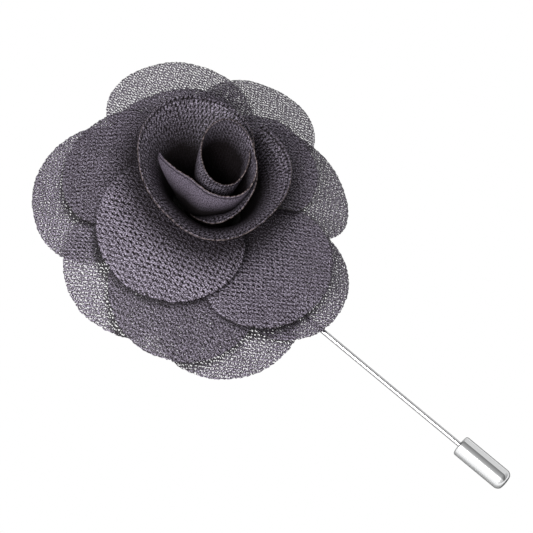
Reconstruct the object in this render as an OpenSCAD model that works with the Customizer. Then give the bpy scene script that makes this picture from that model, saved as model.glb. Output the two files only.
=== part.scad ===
// Lapel pin: a crepe-cloth rose on a stick pin with a pull-off cap, in millimetres.
// +X runs along the needle to its point, +Z out of the flower's face.
// The origin is on the flower's axis, in the plane that the pin lies on.

/* [Cloth] */
// Thickness of a cloth wall
cloth_t = 1.05; // [1:0.05:1.2]
// Free space left between two layers of cloth
layer_gap = 0.2; // [0.15:0.05:0.4]
// Height of the back petals' roots above the plane that the pin lies on
root_height = 6.4; // [6.2:0.1:7]
// Height of the back petals' rims
rim_height = 1.05; // [1:0.05:2]
// Extra height of the rims that pass over the needle
needle_lift = 2.6; // [2.6:0.1:3.5]
// Rise from the back ring of petals to the middle ring
mid_rise = 3.1; // [3:0.1:4]
// Rise from the middle ring of petals to the front petal
front_rise = 2.3; // [2.3:0.1:3]

/* [Backing] */
// Diameter of the felt disc
backing_d = 18; // [16:0.5:20]
// Thickness of the felt disc
backing_t = 1; // [1:0.1:1.2]

/* [Needle] */
// Diameter of the needle
needle_d = 0.8; // [0.7:0.05:0.9]
// Distance from the flower's axis to the mouth of the cap
needle_reach = 54.5; // [50:0.1:60]
// Length of the ground point, which lies inside the cap
point_len = 5.6; // [4:0.2:6]
// Diameter of the pad under the felt
pad_d = 10; // [8:0.5:14]
// Thickness of the pad
pad_t = 0.5; // [0.4:0.1:0.6]
// Diameter of the ferrule that holds the needle to its post
ferrule_d = 1.5; // [1.2:0.1:1.8]
// Length of the ferrule on each side of the post
ferrule_len = 2.5; // [2:0.5:4]

/* [Cap] */
// Diameter of the cap
cap_d = 3.5; // [3.2:0.1:3.6]
// Length of the cap
cap_len = 9.4; // [8:0.1:10]
// Diameter of the blind bore in the cap
bore_d = 1.1; // [1.1:0.05:1.3]
// Depth of the bore
bore_depth = 7; // [6.6:0.2:7.4]
// Corner radius at the closed end
end_round = 1.1; // [0.6:0.1:1.2]
// Corner radius at the mouth
mouth_round = 0.35; // [0.2:0.05:0.4]

/* [Hidden] */
$fn = 64;

// Heights of the metal and felt, upwards from the needle's axis
needle_z = cap_d / 2;
pad_z = needle_z + 1.3;
backing_z = pad_z + pad_t + layer_gap;
foot_z = backing_z + backing_t + layer_gap + cloth_t / 4;
post_d = 1.2;
crown_r = 5;
point_tip_d = 0.1;

// Between neighbours of one ring the layer steps down by this much
layer_step = cloth_t + layer_gap;

// Colours of the pieces
slate = [0.31, 0.29, 0.35];
slate_dark = [0.24, 0.22, 0.27];
felt_grey = [0.18, 0.17, 0.20];
silver = [0.80, 0.81, 0.83];

// Columns of the petal tables
DIRECTION = 0; // heading of the petal in degrees from +X
REACH = 1;     // distance from the flower's axis to the rim
RADIUS = 2;    // radius of the disc that the rim follows
SPAN = 3;      // half of the angle that the petal covers
LIFT = 4;      // rise of the rim above the dome at that heading

BACK_PETALS = [
    [6, 26.2, 12.5, 38, 0],
    [69, 25.6, 14.8, 38, -0.2],
    [104, 30, 11, 31, -0.3],
    [139.5, 30.5, 12.5, 36, -0.35],
    [206, 26.7, 13.4, 42, 0],
    [259.5, 24, 13, 42, -0.7],
    [325, 26.4, 13.9, 38, -0.5]
];
MID_PETALS = [
    [84, 21.2, 10.5, 42, 2.2],
    [148, 22.2, 14, 38, 0.3],
    [193.5, 23.2, 13, 39, 0.4],
    [297.5, 25.1, 12.5, 50, 0],
    [358, 23.1, 13, 48, 0.5]
];
FRONT_PETALS = [[263, 19, 12.3, 88, 0]];

// Columns of the ring table, and its rows from the back to the front
PETALS = 0;   // the ring's petals
ROOT = 1;     // radius at which their roots end
CENTRE = 2;   // middle of the circle of their roots
RISE = 3;     // height of the ring above the back ring
SHOULDER = 4; // where a petal is widest, as a share of the way from root to rim
RINGS = [
    [BACK_PETALS, 7.4, [0, 0], 0, 0.45],
    [MID_PETALS, 8.8, [0, 0], mid_rise, 0.45],
    [FRONT_PETALS, 9.1, [-1.6, 1.2], mid_rise + front_rise, 0.06]
];
BACK = 0;
MID = 1;
FRONT = 2;

// The rings fall away from this radius
DOME_START = 8;
// From this radius a ring rises to its full lift, over this length
LIFT_START = 14;
LIFT_LENGTH = 9;
// Headings are blended over this angle on each side, so that no crease shows
BLEND = 10;

// Columns of the table of the collar and its rows, counter-clockwise round its centre
TURN = 0;       // angle along the strip
RIM_RADIUS = 1; // radius of the rim
RIM_Z = 2;      // height of the rim
FLARE = 3;      // how late the wall turns outwards: a high value gives a wide lip
COLLAR = [
    [60, 7.6, 17.2, 2.4],
    [85, 9.6, 16.6, 2.4],
    [115, 11.8, 16, 2.4],
    [155, 13.2, 15.8, 2.4],
    [190, 12.2, 15.8, 2.7],
    [225, 11, 15.8, 4],
    [270, 11.1, 15.8, 5],
    [310, 12.8, 15.8, 4],
    [360, 12.5, 16, 2.6],
    [410, 13.3, 16, 2.4],
    [445, 12, 15.8, 2.4]
];
COLLAR_RIM_CENTRE = [-2.8, 2.1];
COLLAR_FOOT_CENTRE = [-0.3, 0.3];
COLLAR_FOOT_RADIUS = 5;
COLLAR_FOOT_GROWTH = 1.5;

// Two more columns for the bud, whose rows run clockwise from its inner edge
FOOT_RADIUS = 3; // radius of the foot
CUT = 4;         // share of the height that is cut away from the foot up
BUD = [
    [0, 3.7, 18.5, 1.4, 0],
    [40, 3.9, 17.7, 1.4, 0],
    [90, 4.2, 18.9, 1.5, 0],
    [140, 4.3, 21.6, 1.6, 0],
    [190, 4.3, 23.8, 1.8, 0],
    [240, 4.3, 24.1, 2.1, 0],
    [290, 4.3, 22.1, 2.5, 0],
    [325, 4.5, 20.6, 2.8, 0],
    [345, 5.1, 19.9, 2.9, 0],
    [375, 5.9, 18.6, 3, 0],
    [400, 6.2, 18.1, 3, 0],
    [440, 6, 18, 3, 0.12],
    [478, 6, 17.6, 3, 0.45],
    [502, 7.8, 17, 3.2, 0.66],
    [521, 10.1, 16, 3.6, 0.88]
];
BUD_START = 10;
BUD_RIM_CENTRE = [-1.2, 3.4];
BUD_FOOT_CENTRE = [-0.3, 0.3];

// Steps round and across a petal, and along and up a wound strip
PETAL_STEPS = [18, 6];
STRIP_STEPS = [48, 8];

function mix(a, b, t) = a + (b - a) * t;
function clamp(x) = min(max(x, 0), 1);
function turn(a) = a - 360 * floor(a / 360);
function signed(a) = turn(a + 180) - 180;
function to_nearest(x, n) = x - n * floor(x / n + 0.5);

// Smooth curve through one column of a table whose first column rises
function slope(t, col, i) = let (a = max(i - 1, 0), b = min(i + 1, len(t) - 1))
    (t[b][col] - t[a][col]) / (t[b][TURN] - t[a][TURN]);
function row_of(t, x, i = 0) = i >= len(t) - 2 || x < t[i + 1][TURN] ? i : row_of(t, x, i + 1);
function smooth(t, col, x) = let (
    i = row_of(t, x),
    w = t[i + 1][TURN] - t[i][TURN],
    s = (x - t[i][TURN]) / w
) mix(t[i][col], t[i + 1][col], s * s * (3 - 2 * s))
    + w * slope(t, col, i) * s * (1 - s) * (1 - s)
    - w * slope(t, col, i + 1) * s * s * (1 - s);

// Values at the petals' headings as pairs for lookup, for a turn before and after too
function pairs(petals, values, carry) = [
    for (round = [-1:1], i = [0:len(petals) - 1])
        [petals[i][DIRECTION] + 360 * round, values[i] + carry * round]
];
function counts(petals) = pairs(petals, [for (i = [0:len(petals) - 1]) i], len(petals));
COUNTS = [for (ring = RINGS) counts(ring[PETALS])];
LIFTS = [for (ring = RINGS) pairs(ring[PETALS], [for (p = ring[PETALS]) p[LIFT]], 0)];
BACK_REACH = pairs(BACK_PETALS, [for (p = BACK_PETALS) p[REACH]], 0);
function blended(table, a) = (lookup(turn(a) - BLEND, table) + lookup(turn(a) + BLEND, table)) / 2;

// Height of the back ring at radius r and heading a: a dome that clears the needle
function over_needle(a) = (1 + cos(min(abs(signed(a)) * 2.6, 180))) / 2;
function dome(r, a) = let (s = max(0, (r - DOME_START) / (blended(BACK_REACH, a) - DOME_START)))
    mix(root_height, rim_height + needle_lift * over_needle(a), pow(s, 1.5));

// Each petal lies one layer above its clockwise neighbour, all the way round its ring
function shingle(ring, i, a) = let (n = len(RINGS[ring][PETALS]))
    n == 1 ? 0 : layer_step * to_nearest(i - blended(COUNTS[ring], a), n);
function lifted(ring, r, a) = let (s = clamp((r - LIFT_START) / LIFT_LENGTH))
    blended(LIFTS[ring], a) * s * s;
function petal_z(ring, i, r, a) = dome(r, a) + RINGS[ring][RISE] + shingle(ring, i, a)
    + lifted(ring, r, a);

// Outline of a petal: its inner and outer radius at an angle d from its heading
function disc_edge(p, d) = let (c = p[REACH] - p[RADIUS])
    c * cos(d) + sqrt(p[RADIUS] * p[RADIUS] - pow(c * sin(d), 2));
function petal_edges(ring, p, d) = let (
    x = abs(d) / p[SPAN],
    a = p[DIRECTION] + d,
    root = RINGS[ring][ROOT] + RINGS[ring][CENTRE] * [cos(a), sin(a)],
    widest = mix(root, p[REACH], RINGS[ring][SHOULDER])
) [
    mix(widest, root, sqrt(1 - pow(x, 2.5))),
    mix(widest, disc_edge(p, d), sqrt(1 - pow(x, 6)))
];

function petal_points(ring, i, side) = let (p = RINGS[ring][PETALS][i]) [
    for (j = [0:PETAL_STEPS[0]]) let (
        d = 0.997 * p[SPAN] * sin(90 * (2 * j / PETAL_STEPS[0] - 1)),
        a = p[DIRECTION] + d,
        edge = petal_edges(ring, p, d)
    ) for (k = [0:PETAL_STEPS[1]]) let (r = mix(edge[0], edge[1], k / PETAL_STEPS[1]))
        [r * cos(a), r * sin(a), petal_z(ring, i, r, a) + side * cloth_t / 2]
];

// Middle surface of the collar and of the bud: t runs along the strip, v from foot to rim
function collar_at(t, v) = let (
    grown = (t - COLLAR[0][TURN]) / (COLLAR[len(COLLAR) - 1][TURN] - COLLAR[0][TURN]),
    c = mix(COLLAR_FOOT_CENTRE, COLLAR_RIM_CENTRE, pow(v, 1.5)),
    foot = COLLAR_FOOT_RADIUS + COLLAR_FOOT_GROWTH * grown,
    r = mix(foot, smooth(COLLAR, RIM_RADIUS, t), pow(v, smooth(COLLAR, FLARE, t)))
) [c.x + r * cos(t), c.y + r * sin(t), mix(foot_z, smooth(COLLAR, RIM_Z, t), v)];
function bud_at(t, v) = let (
    h = mix(max(smooth(BUD, CUT, t), 0), 1, v),
    c = mix(BUD_FOOT_CENTRE, BUD_RIM_CENTRE, h),
    r = mix(smooth(BUD, FOOT_RADIUS, t), smooth(BUD, RIM_RADIUS, t), 1 - pow(1 - h, 1.6)),
    a = BUD_START - t
) [c.x + r * cos(a), c.y + r * sin(a), mix(foot_z, smooth(BUD, RIM_Z, t), h)];
function strip_at(name, t, v) = name == "collar" ? collar_at(t, v) : bud_at(t, v);

// A point of the strip's face, half a wall away from its middle surface
function strip_point(name, t, v, side) = let (
    e = 0.02,
    n = cross(
        strip_at(name, t + 50 * e, v) - strip_at(name, t - 50 * e, v),
        strip_at(name, t, min(v + e, 1)) - strip_at(name, t, max(v - e, 0))
    )
) strip_at(name, t, v) + side * cloth_t / 2 * n / norm(n);
function strip_points(name, table, side) = [
    for (j = [0:STRIP_STEPS[0]], k = [0:STRIP_STEPS[1]])
        strip_point(name, mix(table[0][TURN], table[len(table) - 1][TURN], j / STRIP_STEPS[0]),
            k / STRIP_STEPS[1], side)
];

// Triangles of a wall between two grids of points, the upper grid first
function quad(a, b, c, d) = [[a, b, c], [a, c, d]];
function wall_faces(steps) = let (
    m = steps[1] + 1,
    n = (steps[0] + 1) * m
) [
    for (j = [0:steps[0] - 1], k = [0:steps[1] - 1]) let (a = j * m + k)
        each concat(quad(a, a + m, a + m + 1, a + 1), quad(n + a, n + a + 1, n + a + m + 1, n + a + m)),
    for (k = [0:steps[1] - 1]) let (a = k, b = steps[0] * m + k)
        each concat(quad(a, a + 1, n + a + 1, n + a), quad(b + 1, b, n + b, n + b + 1)),
    for (j = [0:steps[0] - 1]) let (a = j * m, b = j * m + steps[1])
        each concat(quad(a + m, a, n + a, n + a + m), quad(b, b + m, n + b + m, n + b))
];

module wall(upper, lower, steps) {
    polyhedron(concat(upper, lower), wall_faces(steps), convexity = 8);
}

module petal(ring, i) {
    wall(petal_points(ring, i, 1), petal_points(ring, i, -1), PETAL_STEPS);
}

module back_petal(i) {
    color(slate) petal(BACK, i);
}

module mid_petal(i) {
    color(slate) petal(MID, i);
}

module front_petal() {
    color(slate) petal(FRONT, 0);
}

module collar() {
    color(slate_dark) wall(strip_points("collar", COLLAR, -1), strip_points("collar", COLLAR, 1), STRIP_STEPS);
}

module bud() {
    color(slate_dark) wall(strip_points("bud", BUD, -1), strip_points("bud", BUD, 1), STRIP_STEPS);
}

module backing() {
    color(felt_grey) translate([0, 0, backing_z]) cylinder(d = backing_d, h = backing_t);
}

// Turns a shape that stands on the origin so that it lies along the needle from x
module along_needle(x) {
    translate([x, 0, needle_z]) rotate([0, 90, 0]) children();
}

module pin() {
    color(silver) union() {
        translate([0, 0, pad_z]) cylinder(d = pad_d, h = pad_t);
        translate([0, 0, needle_z]) cylinder(d = post_d, h = pad_z - needle_z + pad_t / 2);
        along_needle(-ferrule_len) cylinder(d = ferrule_d, h = 2 * ferrule_len);
        along_needle(0) cylinder(d = needle_d, h = needle_reach);
        along_needle(needle_reach) cylinder(d1 = needle_d, d2 = point_tip_d, h = point_len);
    }
}

// Half of the cap's outline, from its mouth up
module cap_outline() {
    r = cap_d / 2;
    intersection() {
        union() {
            square([r - mouth_round, cap_len / 2]);
            translate([0, mouth_round]) square([r, cap_len - mouth_round - end_round]);
            square([r - end_round, cap_len]);
            translate([r - mouth_round, mouth_round]) circle(mouth_round);
            translate([r - end_round, cap_len - end_round]) circle(end_round);
        }
        union() {
            square([r, cap_len - end_round]);
            intersection() {
                translate([0, cap_len - crown_r]) circle(crown_r, $fn = 180);
                square([r, cap_len]);
            }
        }
    }
}

module cap() {
    color(silver) along_needle(needle_reach) difference() {
        rotate_extrude() cap_outline();
        translate([0, 0, -1]) cylinder(d = bore_d, h = bore_depth + 1);
    }
}

for (i = [0:len(BACK_PETALS) - 1])
    back_petal(i);
for (i = [0:len(MID_PETALS) - 1])
    mid_petal(i);
front_petal();
collar();
bud();
backing();
pin();
cap();
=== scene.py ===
# %% [markdown]
# A cloth rose on a stick pin
#
# This notebook dresses a lapel pin: a rose of stiffened crepe, glued petal on petal round a
# rolled bud, on a long steel needle with a pull-off cap. The construction is already fixed by
# the packed model, so the first cell loads it. Every length in Blender is in metres, and the
# rose itself is worked out in millimetres, the way a flower maker cuts it.

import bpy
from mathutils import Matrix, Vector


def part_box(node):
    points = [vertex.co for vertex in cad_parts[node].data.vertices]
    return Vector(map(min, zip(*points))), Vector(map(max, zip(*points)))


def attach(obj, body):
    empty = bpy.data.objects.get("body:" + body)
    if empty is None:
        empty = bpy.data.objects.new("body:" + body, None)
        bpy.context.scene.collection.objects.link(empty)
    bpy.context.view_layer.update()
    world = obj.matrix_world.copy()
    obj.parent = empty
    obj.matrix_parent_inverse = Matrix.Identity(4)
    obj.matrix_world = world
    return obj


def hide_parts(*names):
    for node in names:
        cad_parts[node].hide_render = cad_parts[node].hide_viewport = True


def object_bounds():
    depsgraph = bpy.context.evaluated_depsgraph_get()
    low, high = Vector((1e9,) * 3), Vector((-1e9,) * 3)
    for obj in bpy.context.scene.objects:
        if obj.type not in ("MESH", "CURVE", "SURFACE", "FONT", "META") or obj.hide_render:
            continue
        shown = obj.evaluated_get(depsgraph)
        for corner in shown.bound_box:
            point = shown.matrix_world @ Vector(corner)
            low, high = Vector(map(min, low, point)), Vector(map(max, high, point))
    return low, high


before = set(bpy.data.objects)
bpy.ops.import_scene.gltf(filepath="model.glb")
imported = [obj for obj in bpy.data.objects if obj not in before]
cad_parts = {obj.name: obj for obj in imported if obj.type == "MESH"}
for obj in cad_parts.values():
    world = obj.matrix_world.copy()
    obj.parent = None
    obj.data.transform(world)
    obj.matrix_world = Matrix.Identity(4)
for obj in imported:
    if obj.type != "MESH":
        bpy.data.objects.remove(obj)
cad_low, cad_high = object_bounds()
print("nodes:", sorted(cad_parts))
print("size in mm:", [round(1000 * side, 1) for side in cad_high - cad_low])

# %% [markdown]
# The camera
#
# A small flower is photographed from far away with a long lens, so that near and far petals
# keep their proportions. The camera stands 70 cm off, looks down on the pin at 61 degrees and is
# rolled by 22 degrees, which lets the needle run to the lower right corner. It could be aimed
# with a Track To constraint, but three written axes say the roll as well and never change.

# %% Camera
import math
import bpy
from mathutils import Matrix, Vector

MM = 0.001
VIEW_AZIMUTH, VIEW_ELEVATION, VIEW_ROLL = 19.58, 61.0, 22.36
VIEW_DISTANCE, VIEW_WIDTH = 700 * MM, 85.28 * MM
VIEW_TARGET = Vector((11.93, 3.55, -0.3)) * MM
SENSOR_MM = 36
CLIP_NEAR, CLIP_FAR = 0.01, 10


def place_camera():
    """Makes the camera from its azimuth, elevation and roll, and returns it."""
    azimuth, elevation, roll = map(math.radians, (VIEW_AZIMUTH, VIEW_ELEVATION, VIEW_ROLL))
    right = Vector((math.cos(azimuth), math.sin(azimuth), 0))
    back = Vector((
        math.sin(azimuth) * math.cos(elevation),
        -math.cos(azimuth) * math.cos(elevation),
        math.sin(elevation),
    ))
    up = back.cross(right)
    side = right * math.cos(roll) + up * math.sin(roll)
    axes = Matrix((side, back.cross(side), back)).transposed()
    camera = bpy.data.objects.new("camera", bpy.data.cameras.new("camera"))
    camera.matrix_world = Matrix.Translation(VIEW_TARGET + back * VIEW_DISTANCE) @ axes.to_4x4()
    camera.data.sensor_width = SENSOR_MM
    camera.data.lens = SENSOR_MM * VIEW_DISTANCE / VIEW_WIDTH
    camera.data.clip_start = CLIP_NEAR
    camera.data.clip_end = CLIP_FAR
    bpy.context.scene.collection.objects.link(camera)
    bpy.context.scene.camera = camera
    return camera


camera = place_camera()
print("camera lens in mm:", round(camera.data.lens, 1))

# %% [markdown]
# A bench for finishes
#
# Node trees are easier to read as sums than as lists of links. `Wire` wraps an output socket, and
# its operators add Math nodes, so `1 - hole` is a node too. Every other node comes from
# `Finish.node`, which takes the node's type, its settings and the values or wires of its sockets.
# A finish can belong to a material or to the world, because both are made of the same nodes.

# %% Wires that add Math nodes
class Wire:
    """An output socket whose arithmetic adds Math nodes to the finish that it belongs to."""

    def __init__(self, finish, socket):
        self.finish = finish
        self.socket = socket

    def math(self, operation, *values):
        """A Math node on these values."""
        return self.finish.node("ShaderNodeMath", {"operation": operation}, dict(enumerate(values)))

    def __add__(self, other):
        return self.math("ADD", self, other)

    def __radd__(self, other):
        return self.math("ADD", other, self)

    def __sub__(self, other):
        return self.math("SUBTRACT", self, other)

    def __rsub__(self, other):
        return self.math("SUBTRACT", other, self)

    def __mul__(self, other):
        return self.math("MULTIPLY", self, other)

    def __rmul__(self, other):
        return self.math("MULTIPLY", other, self)

    def __neg__(self):
        return self.math("MULTIPLY", self, -1)

    def cos(self):
        return self.math("COSINE", self)

    def root(self):
        return self.math("SQRT", self)

    def size(self):
        return self.math("ABSOLUTE", self)

    def larger(self, other):
        return self.math("MAXIMUM", self, other)

    def clamp(self):
        return self.math("MINIMUM", self.larger(0), 1)


print("reflected operators of a wire:", [name for name in vars(Wire) if name.startswith("__r")])

# %% Finishes that hold the nodes
# The Mix node has sockets for numbers, vectors and colours. These are the ones for colours.
MIX_SHARE, MIX_FIRST, MIX_SECOND, MIX_COLOUR = 0, 6, 7, 2


class Finish:
    """The nodes of a material or a world: its shader, and one method that adds any other node."""

    def __init__(self, owner, shader="Principled BSDF"):
        self.owner = owner
        owner.use_nodes = True
        self.tree = owner.node_tree
        self.shader = self.tree.nodes[shader]

    def node(self, kind, settings, inputs, output=0):
        """Adds a node and returns one of its outputs."""
        made = self.tree.nodes.new(kind)
        for name, value in settings.items():
            if name == "stops":
                self.set_stops(made.color_ramp.elements, value)
            else:
                setattr(made, name, value)
        for name, value in inputs.items():
            self.plug(made.inputs[name], value)
        return Wire(self, made.outputs[output])

    def set_stops(self, elements, stops):
        while len(elements) < len(stops):
            elements.new(1)
        for element, (place, colour) in zip(elements, stops):
            element.position = place
            element.color = (*colour, 1)

    def plug(self, socket, value):
        if isinstance(value, Wire):
            self.tree.links.new(value.socket, socket)
        else:
            socket.default_value = value

    def set(self, **inputs):
        """Sets the shader's inputs; an underscore in a name stands for a space."""
        for name, value in inputs.items():
            self.plug(self.shader.inputs[name.replace("_", " ")], value)

    def parts(self, vector):
        """The x, y and z of a vector, or the red, green and blue of a colour, as three wires."""
        x = self.node("ShaderNodeSeparateXYZ", {}, {0: vector})
        return x, Wire(self, x.socket.node.outputs[1]), Wire(self, x.socket.node.outputs[2])

    def noise(self, place, grain, output=0):
        """A noise about 0.5. grain holds its scale and its detail."""
        return self.node("ShaderNodeTexNoise", {}, {"Vector": place, **grain}, output)

    def bump(self, height, depth, strength):
        """A normal that follows a height, for the shader's Normal."""
        inputs = {"Height": height, "Distance": depth, "Strength": strength}
        return self.node("ShaderNodeBump", {}, inputs)

    def mix(self, share, first, second):
        """Colour mix, because a Math node would turn colours grey."""
        a, b = ((*c, 1) if isinstance(c, tuple) else c for c in (first, second))
        inputs = {MIX_SHARE: share, MIX_FIRST: a, MIX_SECOND: b}
        return self.node("ShaderNodeMix", {"data_type": "RGBA"}, inputs, MIX_COLOUR)


def material(name):
    """A finish for a new material."""
    return Finish(bpy.data.materials.new(name))


print("a finish can add:", [name for name in vars(Finish) if not name.startswith("_")])

# %% [markdown]
# The card
#
# Small goods are shot on white card, and the exposure burns the card out to plain white. Metal
# that lies on it still mirrors the grey shade where it touches. The compositor could whiten the
# ground, but only in one picture at a time. So the card's own finish does it: a Light Path node
# shows plain white to the lens, and to everything else a card with a painted contact shadow that
# is dark along the pin and pales with the distance, slower on the far side of the needle than on
# the near one.

# %% Card
# The card's colour holds a painted contact shadow: dark along the pin, pale a few mm away.
PAINTED_SHADOW_AT_PIN, CARD_FAR = (0.1, 0.1, 0.1), (0.8, 0.8, 0.8)
SHADOW_FRONT_REACH, SHADOW_BEHIND_REACH = 8 * MM, 20 * MM
CAP_END = cad_high.x
WHITE = (1, 1, 1, 1)
FLOOR_DEPTH, FLOOR_HALF = 0.06 * MM, 1.5


def plain_object(name, vertices, faces):
    """Makes a mesh object from corner points in metres and links it."""
    mesh = bpy.data.meshes.new(name)
    mesh.from_pydata(vertices, [], faces)
    mesh.update()
    made = bpy.data.objects.new(name, mesh)
    bpy.context.scene.collection.objects.link(made)
    return made


def burnt_out_card():
    """White card that the exposure burns out: the metal still sees a painted contact shadow along the pin.
    """
    finish = material("burnt_out_card")
    x, y, _ = finish.parts(finish.node("ShaderNodeTexCoord", {}, {}, "Object"))
    past_cap = (x - CAP_END).larger(0)
    aside = (y * (SHADOW_FRONT_REACH / SHADOW_BEHIND_REACH)).larger(-y)
    distance = (aside * aside + past_cap * past_cap).root()
    out_of_shadow = (distance * (1 / SHADOW_FRONT_REACH)).clamp()
    # Painted contact shadow: darkest at the pin, the card's own grey further off.
    finish.set(Base_Color=finish.mix(out_of_shadow, PAINTED_SHADOW_AT_PIN, CARD_FAR))
    finish.set(Roughness=0.9, Specular_IOR_Level=0.0)
    seen_by_lens = finish.node("ShaderNodeLightPath", {}, {}, "Is Camera Ray")
    white = finish.node("ShaderNodeEmission", {}, {"Color": WHITE, "Strength": 1.0})
    card = Wire(finish, finish.shader.outputs[0])
    both = finish.node("ShaderNodeMixShader", {}, {0: seen_by_lens, 1: card, 2: white})
    finish.plug(finish.tree.nodes["Material Output"].inputs["Surface"], both)
    return finish.owner


corners = [(x * FLOOR_HALF, y * FLOOR_HALF, -FLOOR_DEPTH) for x, y in ((-1, -1), (1, -1), (1, 1), (-1, 1))]
floor = plain_object("floor", corners, [(0, 1, 2, 3)])
floor.data.materials.append(burnt_out_card())
print("card of", 2 * FLOOR_HALF, "m, shaded to", round(SHADOW_FRONT_REACH / MM), "mm from the pin")

# %% [markdown]
# Tent and lamp
#
# A tent of white cloth stands round the card. A polished needle shows the whole tent, so the tent
# matters more to the metal than the lamp does: here it is bright on the side that the goods are
# seen from, has a grey gap overhead with one dark seam, and is a little less bright behind. Cards
# could be hung up for that, but they would stand in the way of views from other sides, so it is a
# ramp in the world, over the tilt from straight up. One large lamp in front lights the far wall
# of the collar and leaves the near pocket dark.

# %% Tent and lamp
TENT = [
    (-180, 1), (-92, 1), (-88, 1.5), (-26, 1.5), (-16, 0.6),
    (28, 0.28), (31, 0.12), (35, 0.9), (180, 0.9),
]
TENT_SIDE_SHADE = 0.6
BLACK = (0, 0, 0)
LAMP_PLACE, LAMP_SIZE, LAMP_WATTS = (0.0, -0.75, 0.75), 0.5, 14


def white_tent(stops):
    """The world: brightness over the tilt from straight up, in degrees towards +Y."""
    tent = Finish(bpy.data.worlds.new("tent"), "Background")
    x, y, z = tent.parts(tent.node("ShaderNodeTexCoord", {}, {}, "Generated"))
    share_of_turn = y.math("ARCTAN2", y, z) * (0.5 / math.pi) + 0.5
    ramp = [((tilt + 180) / 360, (level,) * 3) for tilt, level in stops]
    colour = tent.node("ShaderNodeValToRGB", {"stops": ramp}, {0: share_of_turn})
    tent.set(Color=tent.mix(x.size() * TENT_SIDE_SHADE, colour, BLACK))
    return tent.owner


def soft_lamp(name, place, size, power):
    """Adds a square area lamp at a place in metres that faces the flower."""
    lamp = bpy.data.objects.new(name, bpy.data.lights.new(name, "AREA"))
    lamp.data.size = size
    lamp.data.energy = power
    lamp.location = place
    lamp.rotation_mode = "QUATERNION"
    lamp.rotation_quaternion = (-Vector(place)).to_track_quat("-Z", "Y")
    bpy.context.scene.collection.objects.link(lamp)
    return lamp


lamp = soft_lamp("front_lamp", LAMP_PLACE, LAMP_SIZE, LAMP_WATTS)
bpy.context.scene.world = white_tent(TENT)
bpy.context.scene.view_settings.view_transform = "Standard"
print("tent of", len(TENT), "stops and a lamp of", lamp.data.energy, "W")

# %% [markdown]
# The weave of the crepe
#
# The petals are cut from a dark grey crepe. Its yarns are twisted so hard that they crinkle, and
# between them the cloth stays open, in holes that form slanting rows. A photograph of cloth could
# be mapped on, but a formula stays sharp and has no seams. Three cosines over the cloth's own
# coordinates add up to the lattice of holes: one along the weft, one along the warp and one
# aslant. A broad noise bends them, so that no row runs straight, a second one opens some holes
# wider than others, and a fine one gives the fibres, light and dark. The pitch is the repeat of
# the weave in millimetres; the petals that lie on top are cut from a slightly coarser piece.

# %% Weave
CLOTH_UV = "cloth_mm"
FULL_TURN = 2 * math.pi
PETAL_PITCH, MID_PITCH, FRONT_PITCH = (0.68, 0.54), (0.82, 0.66), (0.9, 0.72)
STRIP_PITCH, REVERSE_PITCH = (0.8, 0.52), (0.3, 0.3)
BEND, BEND_DEPTH = {"Scale": 0.55, "Detail": 2.0}, 0.9
LUMPS, FIBRES = {"Scale": 1.6, "Detail": 1.0}, {"Scale": 5.2, "Detail": 0.0}
LATTICE_SHARE, WARP_SHARE, FIBRE_SHARE = 0.5, 0.4, 0.3
YARN_CONTRAST = 8
GAP_IN_OPENING, FIBRE_IN_OPENING = 0.7, 2.4


def cloth_place(finish):
    """The cloth's own coordinates in mm."""
    return finish.node("ShaderNodeUVMap", {"uv_map": CLOTH_UV}, {})


def weave(finish, pitch):
    """Three wires: how light the yarn is, how deep the gap is and how open the gap is."""
    place = cloth_place(finish)
    bend_u, bend_v, _ = finish.parts(finish.noise(place, BEND, "Color"))
    lump = finish.noise(place, LUMPS) - 0.5
    fibre = finish.noise(place, FIBRES) - 0.5
    u, v, _ = finish.parts(place)
    u = u * (1 / pitch[0]) + bend_u * BEND_DEPTH
    v = v * (1 / pitch[1]) + bend_v * BEND_DEPTH
    weft = (v * FULL_TURN).cos()
    twill = ((u + v) * FULL_TURN).cos()
    warp = (u * 2 * FULL_TURN).cos()
    gap = (weft + twill + warp * WARP_SHARE) * LATTICE_SHARE + lump + fibre * FIBRE_SHARE
    return fibre * YARN_CONTRAST, gap, gap * GAP_IN_OPENING + fibre * FIBRE_IN_OPENING


print("rows of holes in 10 mm of a petal:", round(10 / PETAL_PITCH[1], 1))

# %% [markdown]
# Shade, hem and pinholes
#
# Deep in the rose the cloth is nearly black, because light reaches it only through other petals.
# A render could find that shade by itself with many bounces, but the thin sheets let more light
# through than layers of real crepe do. So the shade is painted: each sheet carries two numbers at
# every point, its distance from the rim and its share of the shade, and the finishes darken by
# them. The rims of the wound strips are turned over, and the shadow under the lower edge of that
# narrow hem is painted as a fine dark line. A petal's pinholes feed Alpha, so the cloth is
# see-through where the real one is; a third number says where the petal hangs loose and its holes stand
# open.

# %% Shade, hem and pinholes
RIM_UV, LOOSE_UV = "from_rim", "looseness"
# The darkest colour of painted shade: deep in the rose, in the holes, under the hem and on the felt.
DARKEST_PAINTED_SHADE = (0.003, 0.002, 0.002)
SHADE_SHARE = 0.97
# The hem's lower edge: a painted shadow in the colour, and on the reverse a groove in the bump.
HEM_WIDTH, HEM_LINE, HEM_FALL = 0.45, 1.3, 6
SHEER_ALPHA, OPEN_EDGE, HOLE_SHARPNESS = 0.88, 0.6, 8.0


def from_rim(finish):
    """Distance from the rim in mm, and the share of the way into the flower's shade."""
    distance, depth, _ = finish.parts(finish.node("ShaderNodeUVMap", {"uv_map": RIM_UV}, {}))
    return distance, depth.clamp()


def shaded(finish, colour, share=SHADE_SHARE):
    """Painted shade: a colour that deepens towards the glued foot of a strip or the root of a petal."""
    _, depth = from_rim(finish)
    return finish.mix(depth * share, colour, DARKEST_PAINTED_SHADE)


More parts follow.
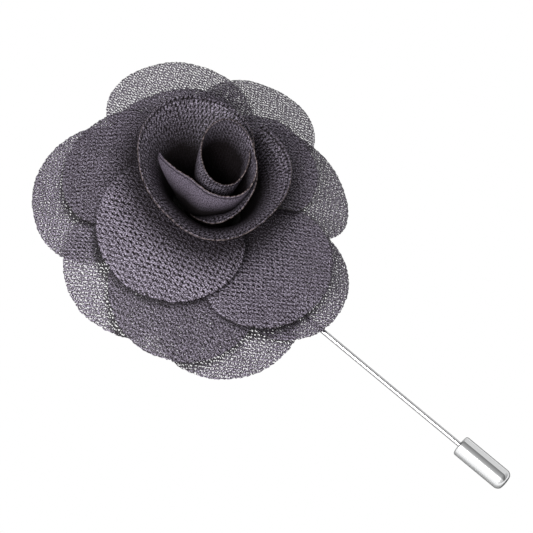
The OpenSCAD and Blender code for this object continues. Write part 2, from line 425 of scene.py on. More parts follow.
def hem_groove_and_shadow(finish):
    """Mask along the lower edge of the rim's narrow hem, 1 on a fine line and 0 away from it: a painted
    shadow in colour and a groove in bump.
    """
    distance, _ = from_rim(finish)
    return (HEM_LINE - (distance - HEM_WIDTH).size() * HEM_FALL).clamp()


def pinholes(finish, opening):
    """Alpha of a petal: its pinholes are the widest gaps, and more of them where it is loose."""
    loose, _, _ = finish.parts(finish.node("ShaderNodeUVMap", {"uv_map": LOOSE_UV}, {}))
    return SHEER_ALPHA - ((opening + loose - OPEN_EDGE) * HOLE_SHARPNESS).clamp() * SHEER_ALPHA


print("light through the cloth between its holes:", round(1 - SHEER_ALPHA, 2))

# %% [markdown]
# Face, reverse and cut edge
#
# The face of the crepe is pebbled: yarns in two tones of one dye with a painted glint on the
# lightest fibres, and painted shade in the holes between them.
# The reverse is smoother and shows only a fine grain; it is what the sail of the bud turns
# outwards. Petals are cut with a hot knife, which melts the yarn ends into beads, so the edge is
# a finish of its own. All of it could be one material with masks, but a sheet with thickness has
# a slot each for its two sides and its edge, and three plain finishes are easier to tune.

# %% Face of the crepe
# The third colour is a painted highlight on the lightest fibres.
YARN_SHADE, YARN_LIGHT, PAINTED_GLINT_COLOUR = (0.050, 0.042, 0.052), (0.225, 0.196, 0.252), (0.40, 0.36, 0.45)
HOLE_EDGE = 0.26
PAINTED_GLINT_EDGE, PAINTED_GLINT_SHARPNESS = 0.8, 2.5
HEM_SHADOW_ON_FACE = 0.8
PEBBLE_DEPTH, PEBBLE_STRENGTH = 0.04 * MM, 0.3


def crepe_finish(name, pitch, tone, sheer=False, wound=False, shade=SHADE_SHARE):
    """The pebbled face of the crepe. tone scales its colours, pitch is its repeat in mm."""
    finish = material(name)
    yarn, gap, opening = weave(finish, pitch)
    hole = ((gap - HOLE_EDGE) * HOLE_SHARPNESS).clamp()
    dark, light, painted_glint = (tuple(part * tone for part in c) for c in (YARN_SHADE, YARN_LIGHT, PAINTED_GLINT_COLOUR))
    colour = finish.mix((yarn + 0.5).clamp(), dark, light)
    # Painted highlight: the lightest fibres turn to a pale glint.
    colour = finish.mix(((yarn - PAINTED_GLINT_EDGE) * PAINTED_GLINT_SHARPNESS).clamp(), colour, painted_glint)
    finish.set(Normal=finish.bump(yarn * 0.5 - hole, PEBBLE_DEPTH, PEBBLE_STRENGTH))
    if wound:
        # On the face the hem is only a painted shadow, added to the mask of the holes.
        hole = hole.larger(hem_groove_and_shadow(finish) * HEM_SHADOW_ON_FACE)
    # The holes and the depth of the rose darken with painted shade.
    finish.set(Base_Color=shaded(finish, finish.mix(hole, colour, DARKEST_PAINTED_SHADE), shade))
    finish.set(Roughness=0.5, Specular_IOR_Level=0.1)
    if sheer:
        finish.set(Alpha=pinholes(finish, opening))
    return finish.owner


petal_face = crepe_finish("crepe_petal_face", PETAL_PITCH, tone=0.88, sheer=True)
mid_face = crepe_finish("crepe_mid_face", MID_PITCH, tone=0.84, sheer=True)
front_face = crepe_finish("crepe_front_face", FRONT_PITCH, tone=0.98, sheer=True)
# The strips' tone is a little lower than the petals': painted shade for doubled cloth that gets no light
# through it from below.
strip_face = crepe_finish("crepe_strip_face", STRIP_PITCH, tone=0.8, wound=True)
strip_outside = crepe_finish("crepe_strip_outside", STRIP_PITCH, tone=0.8, wound=True, shade=0.1)
print("faces:", [face.name for face in (petal_face, mid_face, front_face, strip_face, strip_outside)])

# %% Reverse and cut edge
REVERSE_SHADE, REVERSE_LIGHT = (0.036, 0.029, 0.039), (0.135, 0.115, 0.150)
HEM_SHADOW_ON_REVERSE, HEM_GROOVE = 0.9, 2
GRAIN_DEPTH, GRAIN_STRENGTH = 0.05 * MM, 0.5
BEADS, BEAD_CONTRAST, BEAD_LEVEL = {"Scale": 3.0, "Detail": 2.0}, 5, 0.4
EDGE_SHADE, EDGE_LIGHT = (0.015, 0.009, 0.008), (0.19, 0.15, 0.15)


def reverse_finish(name, pitch, sheer=False, wound=False):
    """The smooth reverse of the crepe: a fine even grain, with the same pinholes as the face."""
    finish = material(name)
    yarn, _, opening = weave(finish, pitch)
    grain = (yarn + 0.5).clamp()
    colour = finish.mix(grain, REVERSE_SHADE, REVERSE_LIGHT)
    if wound:
        # The hem is a painted shadow in the colour and a real groove in the bump; the colour then takes
        # the painted shade of the rose.
        groove_and_shadow = hem_groove_and_shadow(finish)
        colour = shaded(finish, finish.mix(groove_and_shadow * HEM_SHADOW_ON_REVERSE, colour, DARKEST_PAINTED_SHADE))
        grain = grain - groove_and_shadow * HEM_GROOVE
    finish.set(Base_Color=colour, Normal=finish.bump(grain, GRAIN_DEPTH, GRAIN_STRENGTH))
    finish.set(Roughness=0.6, Specular_IOR_Level=0.15)
    if sheer:
        finish.set(Alpha=pinholes(finish, opening))
    return finish.owner


def edge_finish():
    """The heat-cut edge: yarn ends melted into dark and pale beads."""
    finish = material("crepe_cut_edge")
    beads = (finish.noise(cloth_place(finish), BEADS) - 0.5) * BEAD_CONTRAST + BEAD_LEVEL
    colour = finish.mix(beads.clamp(), EDGE_SHADE, EDGE_LIGHT)
    # The cut edge takes the same painted shade as the cloth beside it.
    finish.set(Base_Color=shaded(finish, colour), Roughness=0.6, Specular_IOR_Level=0.15)
    return finish.owner


petal_reverse = reverse_finish("crepe_petal_reverse", PETAL_PITCH, sheer=True)
strip_reverse = reverse_finish("crepe_strip_reverse", REVERSE_PITCH, wound=True)
cut_edge = edge_finish()

petal_cloth = [petal_face, petal_reverse, cut_edge]
mid_cloth = [mid_face, petal_reverse, cut_edge]
front_cloth = [front_face, petal_reverse, cut_edge]
tube_cloth = [strip_face, strip_face, cut_edge]
collar_cloth = [strip_face, strip_outside, cut_edge]
tail_cloth = [strip_face, strip_reverse, cut_edge]
print("reverses and edge:", [side.name for side in (petal_reverse, strip_reverse, cut_edge)])

# %% [markdown]
# From a table of petals to sheets of cloth
#
# The rose has three rings of petals. Each petal is a round patch given by its heading, its reach
# from the flower's axis, the radius of its rim and the angle it covers. LIFT raises its rim,
# LOOSE says how open its holes stand, and TONE darkens a petal that the rose above it shades.
# A ring adds the radius of its roots and the centre that they stand round, its rise over the
# dome, how far out its petals are widest, and how far their rims sag. All rings follow one dome,
# every petal one step above its clockwise neighbour. This could be a cloth simulation, but a
# simulation would lose the arrangement that makes this flower, so the dome is a formula. The
# same numbers shaped the plain walls of the packed model; here they carry a sheet as thin as the
# cloth, which sags a little towards the petal below.

# %% Petal tables in millimetres and degrees
from collections import namedtuple
import numpy as np

DIRECTION, REACH, RADIUS, SPAN, LIFT, LOOSE, TONE = range(7)
BACK_PETALS = np.array([
    [6, 26.2, 12.5, 38, 0, 0.05, 1],
    [69, 25.6, 14.8, 38, -0.2, 0.12, 1],
    [104, 30, 11, 31, -0.3, 0.35, 1],
    [139.5, 30.5, 12.5, 36, -0.35, 0.38, 1],
    [206, 26.7, 13.4, 42, 0, -0.05, 1],
    [259.5, 24, 13, 42, -0.7, 0.2, 1],
    [325, 26.4, 13.9, 38, -0.5, 0.15, 1],
])
MID_PETALS = np.array([
    [84, 21.2, 10.5, 42, 2.2, 0, 1],
    [148, 22.2, 14, 38, 0.3, 0, 0.85],
    [193.5, 23.2, 13, 39, 0.4, 0, 0.75],
    [297.5, 25.1, 12.5, 50, 0, 0, 0.8],
    [358, 23.1, 13, 48, 0.5, 0, 1],
])
FRONT_PETALS = np.array([[263, 19, 12.3, 88, 0, 0, 1]])

Ring = namedtuple("Ring", "name petals root centre rise shoulder sag cloth")
RINGS = [
    Ring("back_petal", BACK_PETALS, root=7.4, centre=(0, 0), rise=0,
         shoulder=0.45, sag=0.1, cloth=petal_cloth),
    Ring("mid_petal", MID_PETALS, root=7.9, centre=(0, 0), rise=3.1,
         shoulder=0.45, sag=0.4, cloth=mid_cloth),
    Ring("front_petal", FRONT_PETALS, root=8.4, centre=(-1.6, 1.2), rise=5.4,
         shoulder=0.06, sag=0.4, cloth=front_cloth),
]
EVERY_PETAL = [(ring, number) for ring in RINGS for number in range(len(ring.petals))]
print("petals in each ring:", [len(ring.petals) for ring in RINGS])

# %% [markdown]
# The tables of the two strips
#
# The heart of the rose is wound from two strips, the collar and the bud. A table gives each one
# at some turns along its winding: the radius and the height of its rim and the radius of its
# foot. The last column is the power by which the collar flares on its way up, and the share of
# the bud that is cut away at its foot. A smooth curve joins the rows. Bezier curves drawn by hand
# would do that too, but they can't be read as a cutting list. The tables stand before the petals
# because the petals are glued against the collar and lie in its shade.

# %% Strip tables in millimetres and degrees
TURN, RIM_RADIUS, RIM_Z, FOOT_RADIUS = range(4)
FLARE = CUT = 4
COLLAR = np.array([
    [-70, 6.9, 12, 4.5, 3],
    [-57, 8.7, 14.2, 4.6, 4],
    [-44, 9.8, 15.6, 4.6, 4.5],
    [-26, 9.5, 16.6, 4.7, 3.5],
    [5, 8.2, 17, 4.8, 2.5],
    [60, 7.6, 17.2, 5, 2.4],
    [85, 9.6, 16.6, 5.1, 2.4],
    [115, 11.8, 16, 5.2, 2.4],
    [155, 13.2, 15.8, 5.4, 2.4],
    [190, 12.2, 15.8, 5.5, 2.7],
    [225, 11, 15.8, 5.6, 4],
    [270, 11.1, 15.8, 5.8, 5],
    [310, 12.8, 15.8, 6, 4],
    [360, 12.5, 16, 6.2, 2.6],
    [410, 13.3, 16, 6.4, 2.4],
    [445, 12, 15.8, 6.5, 2.4],
])
BUD = np.array([
    [-45, 3.8, 20.6, 1.4, 0],
    [0, 3.7, 18.5, 1.4, 0],
    [40, 3.9, 17.7, 1.4, 0],
    [90, 4.2, 18.9, 1.5, 0],
    [140, 4.3, 21.6, 1.6, 0],
    [190, 4.3, 23.8, 1.8, 0],
    [240, 4.3, 24.1, 2.1, 0],
    [290, 4.3, 22.1, 2.5, 0],
    [325, 4.5, 20.6, 2.8, 0],
    [345, 5.1, 19.9, 2.9, 0],
    [375, 5.9, 18.6, 3, 0],
    [400, 6.2, 18.1, 3, 0],
    [440, 6, 18, 3, 0.05],
    [478, 6, 17.6, 3, 0.3],
    [502, 7.8, 17, 3.2, 0.55],
    [521, 10.1, 16, 3.6, 0.88],
])
FOOT_Z = 5.2125
FOOT_CENTRE = np.array([-0.3, 0.3])
COLLAR_RIM_CENTRE, BUD_RIM_CENTRE = np.array([-2.8, 2.1]), np.array([-1.2, 3.4])


def smooth(table, column, turn):
    """Smooth curve through one column of a table, without overshooting its rows' slopes."""
    x, y = table[:, TURN], table[:, column]
    slope = np.empty(len(x))
    slope[1:-1] = (y[2:] - y[:-2]) / (x[2:] - x[:-2])
    slope[0] = (y[1] - y[0]) / (x[1] - x[0])
    slope[-1] = (y[-1] - y[-2]) / (x[-1] - x[-2])
    i = np.clip(np.searchsorted(x, turn, side="right") - 1, 0, len(x) - 2)
    width = x[i + 1] - x[i]
    s = (turn - x[i]) / width
    straight = y[i] + (y[i + 1] - y[i]) * s * s * (3 - 2 * s)
    return straight + width * (slope[i] * s * (1 - s) ** 2 - slope[i + 1] * s * s * (1 - s))


print("turns in the collar and the bud:", [round(np.ptp(t[:, TURN]) / 360, 2) for t in (COLLAR, BUD)])

# %% [markdown]
# How high the rings lie
#
# The back ring is a dome: its roots are glued high, its rims touch the lapel, and only where it
# passes over the needle does it stay up. The other rings follow it at a fixed rise. Each petal
# could be bent by hand over the one below, but then every change would start that work again.
# Instead a petal's layer is counted from how far round the ring it lies, so neighbours always
# pass over each other with the same gap.

# %% Height of the rings
BLEND = 10
DOME_START, DOME_CURVE = 8, 1.5
ROOT_HEIGHT, RIM_HEIGHT = 6.4, 1.05
NEEDLE_LIFT, NEEDLE_FALL = 2.6, 2.6
LAYER_STEP, LIFT_START, LIFT_LENGTH = 1.25, 14, 9


def between(a, b, share):
    """The value that lies a share of the way from a to b."""
    return a + (b - a) * share


def signed(angle):
    """An angle in degrees, as -180 to 180."""
    return (angle + 180) % 360 - 180


def blended(petals, values, carry, heading):
    """Values at the petals' headings, joined round the flower and softened over BLEND degrees."""
    rounds = np.arange(-1, 2)[:, None]
    headings = (petals[:, DIRECTION] + 360 * rounds).ravel()
    levels = (values + carry * rounds).ravel()
    heading = heading % 360
    before = np.interp(heading - BLEND, headings, levels)
    after = np.interp(heading + BLEND, headings, levels)
    return (before + after) / 2


def dome(radius, heading):
    """The back ring's height: it falls to the rims, and less where they pass over the needle."""
    reach = blended(BACK_PETALS, BACK_PETALS[:, REACH], 0, heading)
    share = np.maximum(0, (radius - DOME_START) / (reach - DOME_START))
    from_needle = np.minimum(np.abs(signed(heading)) * NEEDLE_FALL, 180)
    over_needle = (1 + np.cos(np.radians(from_needle))) / 2
    return between(ROOT_HEIGHT, RIM_HEIGHT + NEEDLE_LIFT * over_needle, share**DOME_CURVE)


def petal_height(ring, number, radius, heading):
    """Height of the middle of one petal's wall in the packed model."""
    count = len(ring.petals)
    layer = number - blended(ring.petals, np.arange(count), count, heading)
    layer = layer - count * np.floor(layer / count + 0.5) if count > 1 else 0 * heading
    lift = blended(ring.petals, ring.petals[:, LIFT], 0, heading)
    rising = np.clip((radius - LIFT_START) / LIFT_LENGTH, 0, 1) ** 2
    return dome(radius, heading) + ring.rise + LAYER_STEP * layer + lift * rising


print("height of the dome 10 and 25 mm out:", np.round(dome(np.array([10.0, 25.0]), np.full(2, 180.0)), 2))

# %% [markdown]
# The outline of a petal
#
# A petal's outline is a superellipse between its root and its rim, because a plain arc would
# leave sharp corners. Its root runs in under the others until it meets the collar, where it is
# glued. It could simply end inside the collar, hidden from the front, but thin cloth that passes
# through cloth shows from the side, so the root follows the collar at a fixed gap.

# %% Outline of a petal
COLLAR_END, COLLAR_LEAN, COLLAR_GAP = 85, 1.5, 0.4
ROOT_SQUARENESS, RIM_SQUARENESS, GROWTH = 5, 6, 0.35


def outer_turn(heading):
    """The turn along the collar's strip that lies outermost at a heading."""
    return (heading - COLLAR_END) % 360 + COLLAR_END


def collar_side(heading, height):
    """Radius of the collar's outside, from the flower's axis, at a heading and a height."""
    turn = outer_turn(heading)
    share = np.clip((height - FOOT_Z) / (smooth(COLLAR, RIM_Z, turn) - FOOT_Z), 0, 1)
    foot, rim = smooth(COLLAR, FOOT_RADIUS, turn), smooth(COLLAR, RIM_RADIUS, turn)
    centre = between(FOOT_CENTRE, COLLAR_RIM_CENTRE, share[..., None] ** COLLAR_LEAN)
    direction = np.radians(heading)
    aside = centre[..., 0] * np.cos(direction) + centre[..., 1] * np.sin(direction)
    return between(foot, rim, share ** smooth(COLLAR, FLARE, turn)) + aside


def petal_edges(ring, number, turn):
    """Inner and outer radius of a petal at a turn in degrees from its heading."""
    petal = ring.petals[number]
    degrees = petal[DIRECTION] + turn
    heading, aside = np.radians(degrees), np.radians(turn)
    root = ring.root + ring.centre[0] * np.cos(heading) + ring.centre[1] * np.sin(heading)
    middle = petal[REACH] - petal[RADIUS]
    rim = middle * np.cos(aside) + np.sqrt(petal[RADIUS] ** 2 - (middle * np.sin(aside)) ** 2)
    widest = root + ring.shoulder * (petal[REACH] - root)
    glued = collar_side(degrees, petal_height(ring, number, root, degrees)) + COLLAR_GAP
    x = np.abs(turn) / petal[SPAN]
    inner = between(widest, np.minimum(root, glued), np.sqrt(1 - x**ROOT_SQUARENESS))
    outer = between(widest, rim, np.sqrt(1 - x**RIM_SQUARENESS))
    return inner, outer + GROWTH


roots = [petal_edges(ring, number, np.zeros(1))[0][0] for ring, number in EVERY_PETAL]
print("roots of the petals, mm from the axis:", np.round(roots, 1))

# %% [markdown]
# Shade under petals and collar
#
# Where a petal lies under others, or beside the flared rim of the collar, it darkens over the
# last millimetres. Ambient occlusion nodes would give that from the meshes, but they are slow and
# a model taken out of Blender would lose them. The outlines are known as formulas, so each point
# can be asked how far it lies inside the rim of every petal above it.

# %% Shade under petals and collar
RIM_SHADE, COLLAR_SHADE_WIDTH = 0.5, 4.5


def polar(plan):
    """Radius in mm and heading in degrees of points in plan."""
    x, y = plan[..., 0], plan[..., 1]
    return np.hypot(x, y), np.degrees(np.arctan2(y, x))


def under_petals(ring, number, points):
    """How deep each point lies under other petals: 0 in the open, 1 well inside one rim."""
    radius, heading = polar(points)
    own = petal_height(ring, number, radius, heading)
    shade = np.zeros(radius.shape)
    for other_ring, other in EVERY_PETAL:
        span = other_ring.petals[other, SPAN]
        turn = signed(heading - other_ring.petals[other, DIRECTION])
        _, outer = petal_edges(other_ring, other, np.clip(turn, -span, span))
        inside = np.minimum(outer - radius, np.radians(span - np.abs(turn)) * radius)
        above = petal_height(other_ring, other, radius, heading) > own + LAYER_STEP / 2
        soft = np.clip((inside + RIM_SHADE) / (2 * RIM_SHADE), 0, 1)
        shade = np.maximum(shade, np.where(above, soft, 0))
    return shade


def under_collar(points):
    """1 under the collar's rim, falling to 0 in the open beside it."""
    radius, heading = polar(points[..., :2] - COLLAR_RIM_CENTRE)
    gap = radius - smooth(COLLAR, RIM_RADIUS, outer_turn(heading))
    return np.clip(1 - gap / COLLAR_SHADE_WIDTH, 0, 1)


print("shade reaches", COLLAR_SHADE_WIDTH, "mm past the collar and", RIM_SHADE, "mm past a petal")

# %% [markdown]
# One petal
#
# The scissors follow the weave, so the rim is nicked by a tenth of a millimetre, and stiffened
# crepe dries with a soft wave along its rim. A grid that is bent point by point holds all of
# that at once, where modifiers would need one step each. It stops just short of the petal's two
# ends, where its columns would meet. The cloth's own coordinates go along as a grid of
# millimetres, each petal cut at a slightly different angle to the weave.

# %% One petal as a grid of points
Grid = namedtuple("Grid", "points flat to_rim depth loose")
AROUND, ACROSS, SPAN_USED = 176, 36, 0.997
NICK, WAVE, WAVE_COUNTS, WAVE_PHASES = 0.1, 0.16, (11, 17, 27), 6.28
GRAIN, GRAIN_SPREAD = 30, 12
PETAL_SHADE, COLLAR_SHADE, DEEPEST_SHADE = 0.9, 0.86, 0.9
CLOSED_RADIUS, CLOSED_WIDTH = 17, 3


def petal_grid(ring, number, random):
    """A petal's points, cloth and distance from the rim in mm, its shade and its looseness.

    Rows run round the petal and columns from its root to its rim."""
    petal = ring.petals[number]
    turn = petal[SPAN] * np.sin(np.linspace(-np.pi / 2, np.pi / 2, AROUND + 1)) * SPAN_USED
    heading = np.radians(petal[DIRECTION] + turn)[:, None]
    inner, outer = petal_edges(ring, number, turn)
    share = np.linspace(0, 1, ACROSS + 1)[None, :]
    radius = inner[:, None] + (outer - inner)[:, None] * share
    radius[:, -1] += NICK * random.uniform(-1, 1, AROUND + 1)
    degrees = np.degrees(heading) + 0 * radius
    waves = sum(
        np.sin(np.radians(degrees * count) + random.uniform(0, WAVE_PHASES)) / (rank + 1)
        for rank, count in enumerate(WAVE_COUNTS)
    )
    height = petal_height(ring, number, radius, degrees) + (WAVE * waves - ring.sag) * share**2
    points = np.stack([radius * np.cos(heading), radius * np.sin(heading), height], axis=2)

    grain = np.radians(GRAIN + random.uniform(-GRAIN_SPREAD, GRAIN_SPREAD))
    flat = np.stack([
        points[..., 0] * np.cos(grain) + points[..., 1] * np.sin(grain),
        points[..., 1] * np.cos(grain) - points[..., 0] * np.sin(grain),
    ], axis=2)
    past_petals = 1 - PETAL_SHADE * under_petals(ring, number, points)
    past_collar = 1 - COLLAR_SHADE * under_collar(points)
    depth = np.minimum(1 - petal[TONE] * past_petals * past_collar, DEEPEST_SHADE)
    loose = petal[LOOSE] - np.clip((CLOSED_RADIUS - radius) / CLOSED_WIDTH, 0, 1)
    return Grid(points, flat, outer[:, None] - radius, depth, loose)


print("points in a petal's grid:", (AROUND + 1) * (ACROSS + 1))

# %% [markdown] From grids to cloth  Each grid becomes one open sheet, and a Solidify modifier
# gives it the thickness of the crepe, with the reverse and the cut edge in material slots of
# their own. A box modelled round each petal would be closed too, but its two sides could drift
# apart where it bends. The grids of millimetres are kept as UV maps, because the finishes read
# them.

# %% Sheets from grids
PETAL_THICKNESS, STRIP_THICKNESS = 0.06, 0.18


def uv_map(mesh, name, grid):
    """Adds a UV map that holds two numbers for each point of the grid."""
    layer = mesh.uv_layers.new(name=name)
    point_of_corner = np.empty(len(mesh.loops), dtype=np.int32)
    mesh.loops.foreach_get("vertex_index", point_of_corner)
    layer.data.foreach_set("uv", grid.reshape(-1, 2)[point_of_corner].astype(np.float32).ravel())


def sheet_from_grid(name, grid, thickness, finishes, flip=False):
    """Makes one sheet of cloth from a grid in mm; its face is slot 0, its reverse 1, its edge 2."""
    rows, columns = grid.points.shape[:2]
    index = np.arange(rows * columns).reshape(rows, columns)
    a, b, c, d = index[:-1, :-1], index[1:, :-1], index[1:, 1:], index[:-1, 1:]
    quads = np.stack([a, b, c, d] if flip else [a, d, c, b], axis=-1).reshape(-1, 4)
    made = plain_object(name, (grid.points.reshape(-1, 3) * MM).tolist(), quads.tolist())
    mesh = made.data
    mesh.shade_smooth()
    uv_map(mesh, CLOTH_UV, grid.flat)
    uv_map(mesh, RIM_UV, np.stack([grid.to_rim, grid.depth], axis=2))
    uv_map(mesh, LOOSE_UV, np.stack([grid.loose, grid.loose], axis=2))
    for side in finishes:
        mesh.materials.append(side)
    body = made.modifiers.new("thickness", "SOLIDIFY")
    body.thickness = thickness * MM
    body.offset = 0
    body.material_offset = 1
    body.material_offset_rim = 2
    return made


print("crepe of", PETAL_THICKNESS, "mm for petals and", STRIP_THICKNESS, "mm for doubled strips")

# %% What a sheet says about itself
BODY, CLOTH_SUFFIX = "flower_pin", "_cloth"


def cut_size(points):
    """Width, length and area in metres of the flat cut, measured along the cloth of a grid."""
    def run(axis):
        return np.linalg.norm(np.diff(points, axis=axis), axis=2).sum(axis=axis).max()

    one_diagonal = points[1:, 1:] - points[:-1, :-1]
    other_diagonal = points[1:, :-1] - points[:-1, 1:]
    area = np.linalg.norm(np.cross(one_diagonal, other_diagonal), axis=2).sum() / 2
    return run(0) * MM, run(1) * MM, area * MM * MM


def declare_cloth(made, points):
    """Hides the packed node that a sheet replaces, hangs the sheet on its body and prints how large it was
    cut.
    """
    width, length, area = cut_size(points)
    node = made.name.removesuffix(CLOTH_SUFFIX)
    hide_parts(node)
    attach(made, BODY)
    print(f"{node}: {1000 * width:.1f} x {1000 * length:.1f} mm, {1e4 * area:.2f} cm2 of cloth")


print("the cloth rides on", BODY)

# %% Cut and lay the petals
SEED = 7


def lay_petals(random):
    """Makes all the petals, from the back ring to the front petal."""
    for ring, number in EVERY_PETAL:
        node = f"{ring.name}_{number + 1}" if len(ring.petals) > 1 else ring.name
        grid = petal_grid(ring, number, random)
        made = sheet_from_grid(node + CLOTH_SUFFIX, grid, PETAL_THICKNESS, ring.cloth)
        declare_cloth(made, grid.points)


lay_petals(np.random.default_rng(SEED))

# %% [markdown]
# Collar and bud
#
# The collar goes once and a half round the bud and flares to a wide rim. The bud is rolled into a
# leaning tube, and its tail opens out again like a sail, with the smooth reverse of the crepe
# outside. Both are one surface each over two numbers: the turn along the strip and the share of
# its height. A spiral with a Screw modifier would be quicker but can't lean, flare and be cut low
# at the tail all at once.

# %% Surfaces of the strips
BUD_START, BUD_BELLY = 10, 1.6


def spiral(centre, radius, direction, height):
    """Points at a radius and a direction in degrees round a centre that moves with the height."""
    angle = np.radians(direction)
    x, y = centre[0] + radius * np.cos(angle), centre[1] + radius * np.sin(angle)
    return np.stack([x, y, height], axis=2)


def collar_at(turn, share):
    """Middle of the collar's cloth: turn along the strip, share of the way from foot to rim."""
    centre = between(FOOT_CENTRE[:, None, None], COLLAR_RIM_CENTRE[:, None, None], share**COLLAR_LEAN)
    foot, rim = smooth(COLLAR, FOOT_RADIUS, turn), smooth(COLLAR, RIM_RADIUS, turn)
    radius = between(foot, rim, share ** smooth(COLLAR, FLARE, turn))
    return spiral(centre, radius, turn, between(FOOT_Z, smooth(COLLAR, RIM_Z, turn), share))


def bud_at(turn, share):
    """Middle of the bud's cloth, which is wound clockwise and cut low at its tail."""
    rise = between(np.maximum(smooth(BUD, CUT, turn), 0), 1, share)
    centre = between(FOOT_CENTRE[:, None, None], BUD_RIM_CENTRE[:, None, None], rise)
    foot, rim = smooth(BUD, FOOT_RADIUS, turn), smooth(BUD, RIM_RADIUS, turn)
    radius = between(foot, rim, 1 - (1 - rise) ** BUD_BELLY)
    return spiral(centre, radius, BUD_START - turn, between(FOOT_Z, smooth(BUD, RIM_Z, turn), rise))


print("height of the strips' feet:", FOOT_Z)

# %% [markdown]
# Shade inside the strips
#
# Little light falls into the tube and the pockets, so the cloth darkens from the rim down. Two
# columns set that for each turn: the share of shade that the rim starts with, and the length in
# millimetres over which it grows to the full shade. A negative start keeps the sail light for
# some way. The collar's first turn lies inside and shows the face of the crepe on both sides;
# past it the outside has its own finish, which darkens less because it stands in the open. The
# bud's tail changes in the same way to the smooth reverse. One material with a mask could do
# both, but a change of slots on a row of faces keeps each finish plain.

# %% Strips and their shade
SHADE_START, SHADE_LENGTH = 1, 2
COLLAR_DEPTHS = np.array([
    [-70, 0.95, 6],
    [-40, 0.4, 6],
    [0, 0.2, 6],
    [60, 0, 11],
    [110, 0, 11],
    [160, 0.15, 9],
    [220, 0.25, 7],
    [280, 0.35, 5.4],
    [360, 0.2, 7],
    [445, 0.2, 8],
])
BUD_DEPTHS = np.array([
    [-45, 0.45, 8],
    [0, 0.3, 8],
    [150, 0.25, 8],
    [250, 0.3, 8],
    [345, 0, 5],
    [400, -0.6, 2.5],
    [450, -0.9, 3],
    [478, -0.9, 3],
    [521, -0.6, 3],
])

Strip = namedtuple("Strip", "name table surface depths first then change flip")
STRIPS = [
    Strip("collar", COLLAR, collar_at, COLLAR_DEPTHS, tube_cloth, collar_cloth, change=100, flip=False),
    Strip("bud", BUD, bud_at, BUD_DEPTHS, tube_cloth, tail_cloth, change=372, flip=True),
]
print("strips:", [(strip.name, strip.then[1].name) for strip in STRIPS])

# %% Wind the strips
STRIP_ROWS, STRIP_COLUMNS = 260, 34
MEASURED_COLUMN = STRIP_COLUMNS * 3 // 4


def strip_grid(strip, turn, random):
    """A strip's grid. Its length is measured along one column, three quarters of the way up."""
    share = np.linspace(0, 1, STRIP_COLUMNS + 1)[None, :]
    points = strip.surface(turn + 0 * share, share + 0 * turn)
    points[:, -1, 2] += NICK * random.uniform(-1, 1, STRIP_ROWS + 1)
    steps = np.linalg.norm(np.diff(points[:, MEASURED_COLUMN], axis=0), axis=1)
    along = np.concatenate([[0], np.cumsum(steps)])[:, None] + 0 * share
    rises = np.linalg.norm(np.diff(points, axis=1), axis=2)
    up = np.concatenate([0 * turn, np.cumsum(rises, axis=1)], axis=1)
    to_rim = up[:, -1:] - up
    start, length = smooth(strip.depths, SHADE_START, turn), smooth(strip.depths, SHADE_LENGTH, turn)
    depth = to_rim / length + start
    return Grid(points, np.stack([up, along], axis=2), to_rim, depth, 0 * depth)


def wind(strip, random):
    turn = np.linspace(strip.table[0, TURN], strip.table[-1, TURN], STRIP_ROWS + 1)[:, None]
    grid = strip_grid(strip, turn, random)
    finishes = strip.first + strip.then
    made = sheet_from_grid(strip.name + CLOTH_SUFFIX, grid, STRIP_THICKNESS, finishes, strip.flip)
    changed = np.repeat(turn[:-1, 0] > strip.change, STRIP_COLUMNS)
    made.data.polygons.foreach_set("material_index", (changed * len(strip.first)).astype(np.int32))
    declare_cloth(made, grid.points)


random = np.random.default_rng(SEED + 1)
for strip in STRIPS:
    wind(strip, random)

# %% [markdown]
# Felt and metal
#
# A disc of felt closes the back, and the pin's pad is glued to it. Felt has no yarns, only a
# tangle of fibres, so a fine noise is its whole finish, with painted shade on its top face, which
# lies in the dark pocket under the flower. The needle is drawn steel and the cap is nickel plated.
# A polished metal has almost no colour of its own and is seen by what it mirrors, so its finish
# only needs a low roughness with faint marks. Scratches could be cut as bump, but at this size
# they would only make the mirror noisy.

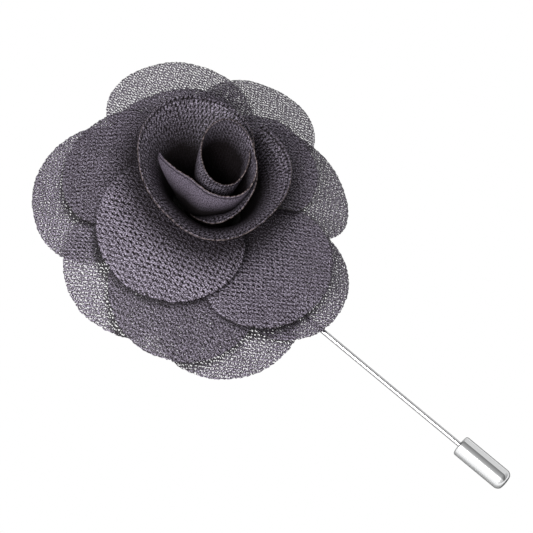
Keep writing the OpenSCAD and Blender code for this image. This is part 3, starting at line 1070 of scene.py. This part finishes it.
# %% Felt finish
FELT_SHADE_DEPTH = 0.4 * MM
FELT_TANGLE = {"Scale": 2600.0, "Detail": 5.0}
FELT_DARK, FELT_LIGHT = (0.02, 0.018, 0.024), (0.09, 0.08, 0.1)
TANGLE_DEPTH, TANGLE_STRENGTH = 0.15 * MM, 0.9


def felt_finish():
    """Pressed felt: a tangle of short fibres, with painted shade on the top face under the flower."""
    finish = material("felt")
    place = finish.node("ShaderNodeTexCoord", {}, {}, "Object")
    tangle = finish.noise(place, FELT_TANGLE)
    _, _, height = finish.parts(place)
    # Painted shade: the top of the felt lies in the dark pocket under the flower, so it darkens there.
    glued = ((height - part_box("backing")[1].z) * (1 / FELT_SHADE_DEPTH) + 1).clamp()
    colour = finish.mix(tangle, FELT_DARK, FELT_LIGHT)
    finish.set(Base_Color=finish.mix(glued, colour, DARKEST_PAINTED_SHADE), Roughness=0.95, Sheen_Weight=0.3)
    finish.set(Normal=finish.bump(tangle, TANGLE_DEPTH, TANGLE_STRENGTH))
    return finish.owner


def give(node, owner):
    """Puts one finish on all of a packed node."""
    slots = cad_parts[node].data.materials
    slots.clear()
    slots.append(owner)


give("backing", felt_finish())

# %% Metal finishes
METAL_MARKS = {"Scale": 900.0, "Detail": 3.0}
MARK_LOW, MARK_RANGE = 0.6, 0.8
EDGE_TINT = (0.6, 0.6, 0.6, 1)


def metal_finish(name, colour, roughness):
    """Bare metal with faint marks from drawing or polishing."""
    finish = material(name)
    place = finish.node("ShaderNodeTexCoord", {}, {}, "Object")
    marks = finish.noise(place, METAL_MARKS)
    finish.set(Base_Color=(*colour, 1), Metallic=1.0, Specular_Tint=EDGE_TINT)
    finish.set(Roughness=roughness * (MARK_LOW + marks * MARK_RANGE))
    return finish.owner


give("pin", metal_finish("drawn_steel", (0.58, 0.58, 0.59), roughness=0.16))
give("cap", metal_finish("polished_nickel", (0.75, 0.755, 0.76), roughness=0.06))
print("metals:", [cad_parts[node].data.materials[0].name for node in ("pin", "cap")])
